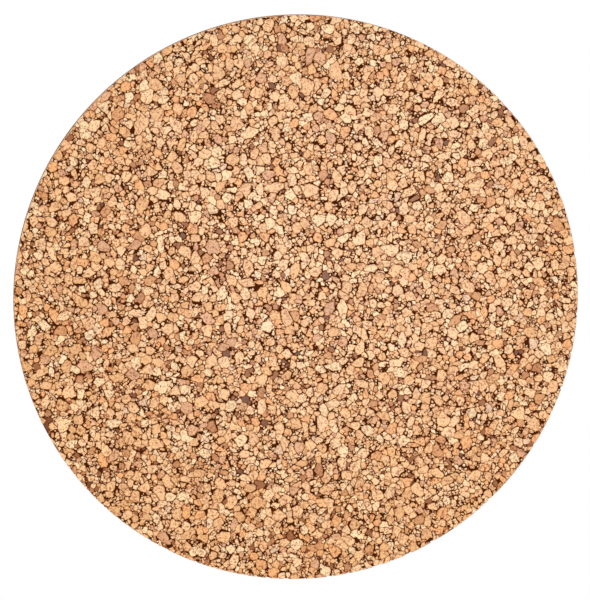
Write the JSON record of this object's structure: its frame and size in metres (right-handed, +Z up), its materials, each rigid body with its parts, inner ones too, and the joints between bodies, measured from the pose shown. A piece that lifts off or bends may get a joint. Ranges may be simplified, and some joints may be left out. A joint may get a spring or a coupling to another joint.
{
  "type": "cork bulletin board",
  "caption": "Round frameless cork bulletin board: cork sheet on a hardboard disc, hung by riveted straps with hinged D-rings and held off the wall by rubber bumpers.",
  "frame": {"origin": "the middle of the wall plane, which the four bumper faces touch", "axes": "+Z up, +Y from the board to the wall; notices are pinned to the cork face, which looks along -Y, and +X is to the right of someone facing it"},
  "size_m": [0.3, 0.013, 0.3],
  "materials": {
    "agglomerated_cork": "matte",
    "tempered_hardboard": "matte",
    "zinc_plated_strip": "satin",
    "nickel_plated_wire": "polished",
    "zinc_plated_rivet": "satin",
    "black_rubber": "matte"
  },
  "bodies": {
    "board": {"cork_face": "agglomerated_cork", "hardboard_back": "tempered_hardboard", "bumper_top": "black_rubber", "bumper_bottom": "black_rubber", "bumper_left": "black_rubber", "bumper_right": "black_rubber", "hanger_strap_left": "zinc_plated_strip", "rivet_left_upper": "zinc_plated_rivet", "rivet_washer_left_upper": "zinc_plated_rivet", "rivet_left_lower": "zinc_plated_rivet", "rivet_washer_left_lower": "zinc_plated_rivet", "hanger_strap_right": "zinc_plated_strip", "rivet_right_upper": "zinc_plated_rivet", "rivet_washer_right_upper": "zinc_plated_rivet", "rivet_right_lower": "zinc_plated_rivet", "rivet_washer_right_lower": "zinc_plated_rivet"},
    "ring_left": {"d_ring_left": "nickel_plated_wire"},
    "ring_right": {"d_ring_right": "nickel_plated_wire"}
  },
  "joints": [
    {"name": "ring_left_hinge", "type": "hinge", "parent": "board", "child": "ring_left", "pos_m": [-0.075, -0.0029, 0.07], "axis": [-1, 0, 0], "range_deg": [0, 172.7]},
    {"name": "ring_right_hinge", "type": "hinge", "parent": "board", "child": "ring_right", "pos_m": [0.075, -0.0029, 0.07], "axis": [-1, 0, 0], "range_deg": [0, 172.7]}
  ]
}
